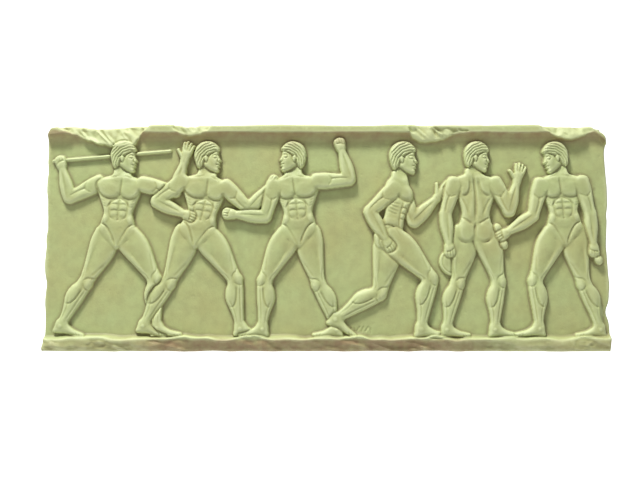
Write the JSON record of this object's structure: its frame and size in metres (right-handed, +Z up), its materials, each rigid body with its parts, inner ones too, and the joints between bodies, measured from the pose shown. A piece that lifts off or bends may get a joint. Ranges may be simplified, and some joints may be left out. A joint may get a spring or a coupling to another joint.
{
  "type": "relief plaque",
  "caption": "Long rectangular wall plaque cast in pale stone, with a low relief frieze of archaic athletes under a worn top moulding and over a ground ledge.",
  "frame": {"origin": "centre of the flat back face, where the plaque meets the wall", "axes": "+Z up, +X along the length towards the viewer's right, +Y out of the back into the wall, so the relief faces -Y"},
  "size_m": [0.42, 0.025, 0.169],
  "materials": {
    "cast_stone": "matt to satin cast surface, pale cream with a yellow-green cast, darker in the hollows and the broken edges"
  },
  "bodies": {
    "root": {"relief_plaque": "cast_stone"}
  },
  "joints": []
}
